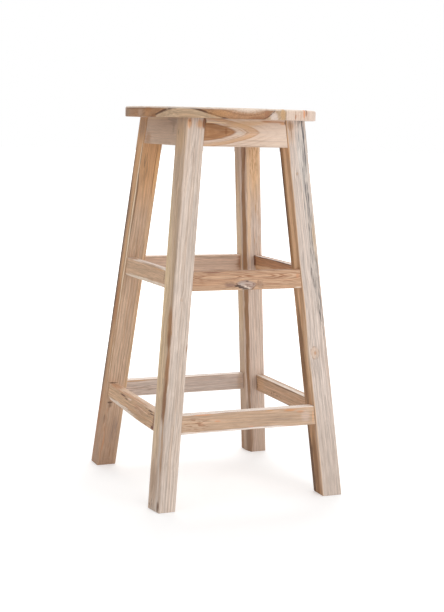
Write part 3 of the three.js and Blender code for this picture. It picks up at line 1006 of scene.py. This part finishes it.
stick_log(
    "upper_stretcher_front",
    dict(pith=(11, -6), drift=(0, 0.085), point=1.5, ring=2.6, ring_depth=0.7, sap=(200, 164, 134),
         line=(156, 106, 72), streak=(202, 150, 110), streak_depth=0.4, wander=(1.2, 1.5),
         arris_depth=0.1),
    # Painted shade: the top face painted tan, as the seat shades it.
    Skin("Y", 0.2, 1, (176, 134, 104), 0.5),
    *DARK_RINGS,
    Knot((110, 26.5), (21, 9.5), (36, 15), 9, (184, 160, 148), (116, 84, 66), 0.9, rings=11),
    Mark((38, 1.2), (27, 1.5, 4), (112, 62, 42), 0.9, core=0.5),
    Mark((74, 23), (16, 4.6), (112, 80, 62), 0.85, lines=(16, 1.8)),
    Mark((66, 29), (34, 4), (150, 112, 86), 0.7, lines=(30, 1.8)),
    Mark((75, 25.5), (15, 4.8), (148, 114, 98), 0.85, core=0.4),
    Mark((76, 29.4), (16, 1), (116, 76, 58), 0.85, core=0.5, ragged=0.5),
    Mark((99, 24), (8, 4.6), (188, 172, 162), 0.7),
    Mark((112, 29), (10, 5), (134, 106, 94), 0.75, lines=(5, 2.2)),
    Mark((110, 20), (4, 1.6), (84, 64, 56), 0.85, core=0.5),
    Mark((138, 27), (8, 9), (164, 132, 108), 0.75, core=0.4),
    Mark((123, 27), (4.5, 8), (124, 88, 70), 0.85, lines=(5, 2.6)),
    Mark((133, 23), (3.4, 8), (146, 108, 84), 0.6),
    Mark((141, 25), (5, 9), (140, 92, 62), 0.85, lines=(5, 3)),
    Mark((105, 14.5), (20, 1.3), (214, 180, 148)),
    Mark((104, 29.2), (7, 1.6), (236, 216, 198), 0.9, ragged=0.5),
    Mark((112, 32.4), (7, 1.8), (240, 222, 206), 0.9, ragged=0.5),
    Mark((90, 28), (9, 2), (62, 42, 32), 0.95, core=0.6, ragged=0.5),
    Mark((98, 30.4), (8, 2.2), (62, 42, 32), 0.95, core=0.6, ragged=0.5),
    Mark((106, 33.6), (9, 2.2), (62, 42, 32), 0.95, core=0.6, ragged=0.5),
    Mark((178, 11), (24, 8), (148, 98, 66), 0.7, lines=(30, 1.9)),
    Mark((217, 12), (5, 6), (206, 144, 104), 0.6),
    Mark((165, 26), (26, 1.2), (150, 98, 66), ragged=0.8),
    Mark((196, 21), (16, 1.2), (150, 98, 66), ragged=0.8),
    # These two are painted highlights on the lower edge.
    Mark((218, 34.6), (9, 1.4), (236, 218, 198), 0.85),
    Mark((60, 35), (60, 0.9), (222, 192, 160), 0.7),
)
stick_log(
    "upper_stretcher_left",
    dict(pith=(70, 50), ring=6.5, ring_depth=0.25, sap=(212, 174, 140), line=(170, 134, 104),
         streak=(204, 160, 122), arris_depth=0.2),
    PAINTED_TOP_HIGHLIGHT,
    Mark((22, 0, 8), (26, 4, 14), (196, 152, 116), 0.9),
    Mark((130, 0, 1.5), (100, 2.5, 7), (182, 144, 112), 0.85),
    Mark((180, 2.6), (34, 2, 5), (206, 152, 100)),
    Mark((140, 0.8), (70, 0.9, 3), (140, 104, 76), 0.6),
    Mark((216.5, 16), (1.6, 18), (132, 96, 66), 0.85),
    # Painted highlight: the downward-facing chamfer painted near white, standing in for the light from
    # the floor.
    Mark((110, 34, 4), (170, 8.5, 10), (236, 218, 198), 0.9, core=0.75),
    Mark((206, 33, 3), (14, 4, 6), (226, 186, 156), 0.6),
    Mark((5, 35.6), (24, 1, 5), (226, 176, 128)),
)
stick_log(
    "upper_stretcher_back",
    dict(pith=(60, 30), ring=5.5, ring_depth=0.3, sap=(202, 173, 152), line=(160, 126, 104),
         streak=(194, 154, 126)),
    PAINTED_TOP_HIGHLIGHT,
    # Darker at the end by the leg: partly stain in the joint, partly painted shade.
    Mark((226, 16), (14, 26), (150, 104, 72), 0.85, core=0.3),
    Mark((110, 2), (130, 1.3, 3), (140, 106, 84), 0.7, core=0.5),
    Mark((160, 9), (50, 8, 6), (160, 130, 112), lines=(40, 1.8)),
    Mark((160, 35), (60, 1.4, 5), (222, 188, 154)),
    Mark((166, 33), (30, 0.9, 5), (140, 88, 60)),
)
stick_log(
    "upper_stretcher_right",
    dict(pith=(54, 20), ring=5.5, ring_depth=0.4, sap=(180, 128, 88), line=(136, 88, 54),
         streak=(190, 132, 92), arris_depth=0),
    PAINTED_TOP_HIGHLIGHT,
    # Dark band at the end by the leg: partly a dark joint, partly painted shade.
    Mark((3, 14), (8, 22, 6), (112, 68, 40), 0.9, core=0.5),
    Mark((110, 1.8), (130, 1.6, 3), (84, 52, 34), 0.9, core=0.5),
    Mark((60, 27, 3), (90, 10, 9), (212, 170, 130), 0.85, core=0.7),
    Mark((190, 10), (30, 9, 6), (112, 66, 44), 0.7, lines=(12, 2.6)),
)
stick_log(
    "lower_stretcher_front",
    dict(pith=(80, 30), drift=(0.02, 0), ring_depth=0.3, sap=(195, 165, 139), line=(160, 118, 86),
         streak=(208, 162, 124), streak_depth=0.3, figure=0.09, arris_depth=0.1),
    PAINTED_TOP_HIGHLIGHT,
    Mark((110, 0.8), (140, 0.8, 3), (150, 92, 60), 0.75, core=0.5),
    Mark((42, 2.2), (24, 1.5, 5), (220, 152, 108), 0.85),
    Mark((224, 4), (17, 3.4, 6), (206, 146, 100), 0.85),
    Mark((246, 8), (12, 3, 6), (206, 150, 112), 0.75),
    Mark((180, 2.4), (12, 1.5, 6), (206, 152, 104), 0.75),
    Mark((71, 15), (8, 2.2, 6), (218, 158, 122), 0.85),
    Mark((42, 19), (12, 1.8, 6), (190, 136, 106), 0.75, lines=(12, 1.8)),
    Mark((24, 20), (44, 18, 6), (156, 112, 82), 0.9, lines=(12, 2.2)),
    Mark((141, 32), (9, 1.6, 6), (222, 158, 132)),
    Mark((170, 20), (90, 14, 6), (158, 134, 116), 0.6, lines=(50, 1.6)),
    Mark((258, 18), (14, 14, 6), (212, 186, 170), 0.7),
    Mark((274, 20), (2.4, 18, 6), (224, 172, 128)),
    # Painted highlight: the downward-facing lower edge painted near white.
    Mark((120, 34.8, 1), (170, 2.2, 4), (250, 238, 228), 0.9, core=0.6),
    Mark((120, 33.4), (150, 0.8, 3), (160, 124, 116), 0.7),
    Mark((230, 34.4), (34, 0.9, 4), (204, 138, 96)),
)
stick_log(
    "lower_stretcher_left",
    dict(pith=(70, 30), drift=(-0.02, 0), ring_depth=0.3, sap=(206, 168, 132), line=(156, 112, 78),
         streak=(198, 142, 100), arris_depth=0),
    # Painted highlight: the top face painted pale, standing in for the light from above.
    Skin("Y", 0.3, 1.5, (236, 208, 182)),
    Mark((30, 0, 8), (44, 3, 14), (210, 160, 122), 0.85),
    Mark((170, 0, 2), (130, 3, 8), (202, 152, 112), 0.85),
    Mark((60, 2.4), (56, 2.6, 6), (206, 152, 112), 0.75),
    Mark((92, 6.8), (25, 2.8, 5), (182, 126, 88)),
    crack((90, 6.6), (22, 1.7, 5), (92, 54, 36), 0.95),
    crack((112, 9), (12, 1.4, 5), (100, 62, 42)),
    Mark((132, 6), (14, 2.6, 5), (232, 206, 188)),
    crack((228, 4.4), (9, 0.9, 5), (118, 76, 54), dent=5),
    crack((252, 5.4), (17, 1.8, 5), (88, 52, 36), 0.95),
    crack((260, 9.8), (15, 1.7, 5), (92, 56, 38), 0.95),
    crack((226, 12), (10, 1, 5), (118, 76, 54), 0.85, dent=5),
    Mark((244, 15), (16, 5, 5), (134, 92, 66), lines=(8, 2.4)),
    Mark((188, 14), (46, 11, 6), (180, 134, 104), 0.7),
    Mark((200, 14), (60, 14, 6), (222, 188, 156), 0.7, lines=(50, 2.4)),
    Mark((272, 22), (6, 20, 6), (132, 88, 62)),
    Mark((268, 33), (8, 5, 6), (96, 44, 30), 0.9),
    Mark((232, 34.4), (34, 0.9, 5), (112, 60, 42), 0.85, lines=(12, 3)),
    # Painted highlight: the downward-facing chamfer painted near white, standing in for the light from
    # the floor.
    Mark((70, 34, 4), (120, 8.5, 10), (234, 216, 200), 0.9, core=0.75),
    # Painted shadow: a dark line under the chamfer.
    Mark((30, 35.8, 4), (60, 1, 4), (110, 82, 64), 0.9, core=0.5),
)
stick_log(
    "lower_stretcher_back",
    dict(pith=(60, 40), ring=5.5, ring_depth=0.3, sap=(206, 188, 176), line=(158, 130, 114),
         streak=(190, 156, 134), arris_depth=0.2),
    PAINTED_TOP_HIGHLIGHT,
    # Darker at the end by the leg: partly stain in the joint, partly painted shade.
    Mark((270, 18), (10, 26), (186, 156, 132), 0.7),
    Mark((130, 2), (160, 1.2, 3), (156, 122, 102), 0.7, core=0.5),
    Mark((34, 2), (40, 2.4, 6), (204, 158, 116)),
    Mark((200, 14), (80, 12, 6), (178, 162, 152), 0.6, lines=(50, 1.6)),
    Mark((50, 20), (60, 14, 6), (140, 116, 98), 0.9, lines=(50, 1.6)),
)
stick_log(
    "lower_stretcher_right",
    dict(pith=(70, 30), ring_depth=0.35, sap=(204, 168, 137), line=(150, 108, 74), arris_depth=0),
    # Painted highlight: the top face painted near white, standing in for the light from above.
    Skin("Y", 0.3, 1.5, (244, 232, 220)),
    # Dark line at the end by the leg: partly stain in the joint, partly painted shade.
    Mark((1.5, 18), (3, 20, 6), (104, 64, 40), 0.9, core=0.5),
    Mark((120, 35.4), (150, 1.5, 5), (104, 66, 44), 0.85, core=0.5),
    Mark((130, 1.8), (110, 1.4, 5), (108, 72, 50), core=0.5),
    Mark((90, 26), (44, 7, 6), (132, 96, 70), lines=(6, 2.6)),
    Mark((20, 14), (26, 16, 6), (208, 166, 126), 0.6),
)
stick_log(
    "seat_board_1",
    dict(pith=(142.7, -18.2), drift=(0.087, -0.052), ring=7, ring_depth=0.3, heart=48.2, heart_edge=1,
         heart_line=0.95, sap=(206, 176, 144), heart_tone=(172, 127, 90), line=(84, 50, 28),
         streak=(190, 146, 108), figure=0.08, wander=(0.3, 0.5)),
    PAINTED_RIM_HIGHLIGHT,
    Mark((104, 154, 1), (52, 40, 11), (238, 220, 203), 0.85, core=0.1, ragged=0.8),
    Mark((120, 144, 19), (24, 20, 7), (140, 92, 60), 0.7, ragged=0.8),
    Mark((-150, 112, 12), (22, 20, 8), (160, 132, 100), 0.6),
    Mark((-108, 153, 12), (15, 13, 17), (196, 162, 136), 0.6, core=0.1),
    Mark((-89, 165, 13), (13, 8, 14), (194, 142, 98), 0.6, core=0.1),
    Mark((-73, 172.5, 18.4), (8, 5, 5.5), (150, 104, 68), 0.9, core=0.7, ragged=0.3),
    Mark((-120, 144, 4.8), (86, 70, 1.5), (130, 90, 58), 0.7, core=0.7, ragged=0.4),
    Mark((-85, 166, 6), (18, 9, 5), (170, 116, 70), 0.7),
    Mark((-160, 98, 12), (9, 14, 14), (136, 100, 68), 0.85),
    Mark((-30, 184, 5), (40, 9, 3), (226, 196, 166), 0.5, lines=(20, 2)),
    Mark((60, 178, 12), (40, 12, 8), (190, 140, 92), 0.6),
    Mark((148, 118, 17), (26, 9, 13), (230, 212, 200), 0.85, core=0.5),
    Mark((158, 101, 10), (30, 5.5, 16), (214, 172, 124), 0.85, core=0.5),
    Mark((135, 130, 10), (7, 7, 12), (150, 96, 66), 0.5),
)
stick_log(
    "seat_board_2",
    dict(pith=(-160, 12), ring=6.4, ring_depth=0.75, sap=(240, 221, 206), line=(184, 148, 122),
         streak=(222, 184, 150), streak_depth=0.25, figure=0.06),
    PAINTED_RIM_HIGHLIGHT,
    Mark((-174, 72, 12), (16, 34, 16), (146, 108, 74), 0.95, core=0.7),
    Mark((168, 86, 10), (20, 8, 12), (236, 216, 200), 0.6),
    Mark((183, 43, 8), (14, 5.5, 11), (232, 150, 96), 0.9, core=0.6, ragged=0.5),
    Mark((184, 34, 6), (14, 4.5, 9), (146, 98, 74), 0.9, core=0.5, ragged=0.5),
    Mark((186, 22, 9), (12, 3, 14), (190, 164, 146), core=0.4, ragged=0.5),
    Mark((173, 72, 14), (12, 2.6, 7), (168, 106, 70), 0.9, core=0.5, ragged=0.5),
    Mark((184, 30, 6), (12, 2, 12), (226, 180, 146)),
    Mark((180, 58, 10), (20, 16, 12), (204, 156, 118), 0.7, lines=(60, 2)),
    Mark((186, 8, 10), (16, 22, 20), (242, 222, 208), 0.7),
    Mark((90, 60), (70, 20, 5), (216, 176, 142), 0.4),
)
stick_log(
    "seat_board_3",
    dict(pith=(-30, -50), ring_depth=0.45, heart=62, sap=(214, 186, 160), line=(164, 118, 84),
         streak=(200, 152, 112)),
    PAINTED_RIM_HIGHLIGHT,
    Mark((186, -20, 10), (16, 34, 20), (244, 226, 212), 0.9, core=0.6),
)
stick_log(
    "seat_board_4",
    dict(pith=(-150, -30), ring=6.5, ring_depth=0.45, heart=40, sap=(206, 180, 154),
         line=(150, 112, 82), streak=(190, 150, 114)),
    PAINTED_RIM_HIGHLIGHT,
)
stick_log("corner_block_front_right", dict(pith=(-30, 40), sap=(206, 172, 138)))
stick_log("corner_block_back_right", dict(pith=(40, 30), sap=(198, 160, 124)))
stick_log("corner_block_back_left", dict(pith=(-20, -40), sap=(210, 178, 146)))
stick_log("corner_block_front_left", dict(pith=(50, -20), sap=(196, 156, 120)))

WOODS = {}
for number, (node, log) in enumerate(LOGS.items()):
    WOODS[node] = bpy.data.materials.new(f"wood_of_{node}")
    Wood(WOODS[node], node, number, log)


# How large the steel's tarnish and scratches are, in millimetres, the noise values between which
# scratches fade in, and how rough they make it
TARNISH = (2.4, 2.4, 2.4)
SCRATCHES = (1.6, 0.09, 0.09)
SCRATCH_RANGE = (0.3, 0.7)
STEEL_ROUGHNESS = (0.28, 0.46)


def screw_steel():
    """Zinc-plated steel, finely scratched, with a little tarnish."""
    steel = bpy.data.materials.new("screw_steel")
    recipe = Recipe(steel)
    place = recipe.add("TexCoord").outputs["Object"]
    millimetres = recipe.vector("SCALE", place)
    millimetres.node.inputs["Scale"].default_value = 1 / MILLIMETRE
    tarnish = recipe.noise(millimetres, TARNISH, detail=3)
    scratches = recipe.noise(millimetres, SCRATCHES, detail=2)
    recipe.give("Base Color", recipe.blend(tarnish, tone(214, 208, 194), tone(170, 166, 158)))
    recipe.give("Metallic", 1)
    recipe.give("Roughness", recipe.ramp(scratches, *SCRATCH_RANGE, *STEEL_ROUGHNESS))
    recipe.bump(scratches, strength=0.25, distance=STEEL_RELIEF)
    return steel


# Faces that the maker planed off or that the tree's edge took, each by three places on the stick
PLANED = {
    "leg_front_left": ((730, 3.4, 0), (0, 7.2, 0), (365, 0, 30)),
    "leg_back_right": ((700, 7.5, 0), (100, 5.4, 0), (400, 0, 20)),
    "upper_stretcher_left": ((0, 31.5, 0), (218, 25, 0), (218, 36, 8)),
    "lower_stretcher_left": ((0, 25.7, 0), (185, 36, 0), (0, 36, 8)),
    "upper_stretcher_right": ((0, 20, 0), (219, 17.5, 0), (0, 36, 7)),
}


def plane_face(piece, node):
    """Planes off the edge of a stick that lies beyond its three places."""
    if node not in PLANED:
        return
    origin, axes = stick_frame(node)
    first, second, third = [(origin + axes @ Vector(place)) * MILLIMETRE for place in PLANED[node]]
    normal = (second - first).cross(third - first).normalized()
    corners = [vertex.co for vertex in piece.data.vertices]
    middle = sum(corners, Vector()) / len(corners)
    if normal.dot(middle - first) > 0:
        normal = -normal
    slice_off(piece, first, normal)


def make_legs():
    """Four legs from one blank, each eased and mortised in its own corner, and planed where PLANED lists
    it.
    """
    blank = leg_post("leg_blank")
    for count, corner in enumerate(CORNERS):
        node = f"leg_{corner}"
        piece = copy_piece(blank, f"{corner}_leg")
        turn(piece, count)
        plane_face(piece, node)
        finish_leg(piece, count)
        mount_piece(piece, node, WOODS[node])
    bpy.data.objects.remove(blank)


def make_rails(kind):
    """Four rails of a kind from one blank, each eased and tenoned on its own side, and planed where
    PLANED lists it.
    """
    blank = rail_body(f"{kind}_blank", kind)
    for count, side in enumerate(SIDES):
        node = f"{kind}_{side}"
        piece = copy_piece(blank, f"{side}_{kind}")
        turn(piece, count)
        plane_face(piece, node)
        finish_rail(piece, kind, count)
        mount_piece(piece, node, WOODS[node])
    bpy.data.objects.remove(blank)


def make_seat():
    """A round seat, cut into boards along the grain with a glue line between them."""
    disc = start_disc("seat_blank", SEAT_RADIUS, LEG_HEIGHT, STOOL_HEIGHT, SEAT_FACETS)
    round_off(disc, "FACE", lambda face: face.normal.z > ALIGNED, SEAT_TOP_EASE, segments=6)
    round_off(disc, "FACE", lambda face: face.normal.z < -ALIGNED, SEAT_LOWER_EASE, segments=3)
    across = -SEAT_ACROSS
    for board in range(BOARD_COUNT):
        node = f"seat_board_{board + 1}"
        piece = copy_piece(disc, f"board_{board + 1}_of_seat")
        near = board * BOARD_WIDTH - SEAT_RADIUS + JOINT_GAP / 2
        far = (board + 1) * BOARD_WIDTH - SEAT_RADIUS - JOINT_GAP / 2
        if board > 0:
            slice_off(piece, across * near, -across)
        if board < BOARD_COUNT - 1:
            slice_off(piece, across * far, across)
        mount_piece(piece, node, WOODS[node])
    bpy.data.objects.remove(disc)


def dress_hidden_parts():
    """The blocks and screws under the seat keep their CAD shapes."""
    steel = screw_steel()
    for name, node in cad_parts.items():
        if name.startswith(("corner_block", "apron_screw", "seat_screw")):
            node.data.materials.clear()
            node.data.materials.append(WOODS.get(name, steel))


make_legs()
make_rails("apron")
make_rails("upper_stretcher")
make_rails("lower_stretcher")
make_seat()
dress_hidden_parts()


def photograph_camera():
    """The camera that was fitted to the edges of the stool in the photograph."""
    bpy.ops.object.select_all(action="DESELECT")
    data = bpy.data.cameras.new("camera")
    camera = bpy.data.objects.new("camera", data)
    bpy.context.collection.objects.link(camera)
    turn_to_view = Matrix.Rotation(CAMERA_AZIMUTH, 4, "Z")
    place = turn_to_view @ Vector((CAMERA_SIDESTEP, -CAMERA_DISTANCE, 0))
    tilt = Matrix.Rotation(QUARTER_TURN - CAMERA_PITCH, 4, "X")
    roll = Matrix.Rotation(CAMERA_ROLL, 4, "Z")
    raised = Matrix.Translation(Vector((place.x, place.y, CAMERA_HEIGHT)))
    camera.matrix_world = raised @ turn_to_view @ tilt @ roll
    data.lens = FOCAL_PIXELS * data.sensor_width / PICTURE_HEIGHT
    bpy.context.scene.camera = camera


# Floor, backdrop and light

WHITE = (1, 1, 1, 1)
FLOOR_COLOUR = (0.84, 0.84, 0.84, 1)
FLOOR_ROUGHNESS = 0.9
FLOOR_SIZE = 60
FLOOR_LIFT = 0.32
FLOOR_NEAR = 0.7
FLOOR_FAR = 2.2
SKY_STRENGTH = 0.66
SOFTBOX_SIZE = 2.2
SOFTBOX_DISTANCE = 3.0


def floor_white():
    """White paper that keeps a soft shadow near the stool and fades into the backdrop."""
    paper = bpy.data.materials.new("floor_white")
    recipe = Recipe(paper)
    recipe.give("Base Color", FLOOR_COLOUR)
    recipe.give("Roughness", FLOOR_ROUGHNESS)
    recipe.give("Specular IOR Level", 0)
    recipe.give("Emission Color", WHITE)
    from_stool = recipe.vector("LENGTH", recipe.add("TexCoord").outputs["Object"])
    lift = recipe.ramp(from_stool, FLOOR_NEAR, FLOOR_FAR, FLOOR_LIFT, 1)
    recipe.give("Emission Strength", recipe.times(recipe.seen_directly(), lift))
    return paper


def make_floor():
    bpy.ops.object.select_all(action="DESELECT")
    bpy.ops.mesh.primitive_plane_add(size=FLOOR_SIZE)
    floor = bpy.context.object
    floor.name = "floor"
    floor.data.materials.append(floor_white())


def make_world():
    """A white sky whose light is weaker than it looks."""
    world = bpy.data.worlds.new("studio")
    bpy.context.scene.world = world
    recipe = Recipe(world, "Background")
    recipe.give("Color", WHITE)
    recipe.give("Strength", recipe.ramp(recipe.seen_directly(), 0, 1, SKY_STRENGTH, 1))


def softbox(name, azimuth, elevation, power):
    """A round lamp aimed at the stool. Azimuth 0 is in front, and 90 is on the right."""
    bpy.ops.object.select_all(action="DESELECT")
    bpy.ops.object.light_add(type="AREA")
    lamp = bpy.context.object
    lamp.name = name
    lamp.data.shape = "DISK"
    lamp.data.size = SOFTBOX_SIZE
    lamp.data.energy = power
    azimuth, elevation = math.radians(azimuth), math.radians(elevation)
    level = math.cos(elevation)
    towards_lamp = Vector((math.sin(azimuth) * level, -math.cos(azimuth) * level, math.sin(elevation)))
    lamp.location = Vector((0, 0, STOOL_HEIGHT / 2)) + towards_lamp * SOFTBOX_DISTANCE
    lamp.rotation_euler = towards_lamp.to_track_quat("Z", "Y").to_euler()
    lamp.visible_camera = False


photograph_camera()
make_floor()
make_world()
softbox("front_softbox", azimuth=15, elevation=16, power=30)
softbox("back_softbox", azimuth=160, elevation=50, power=40)

bpy.context.scene.view_settings.view_transform = "Standard"
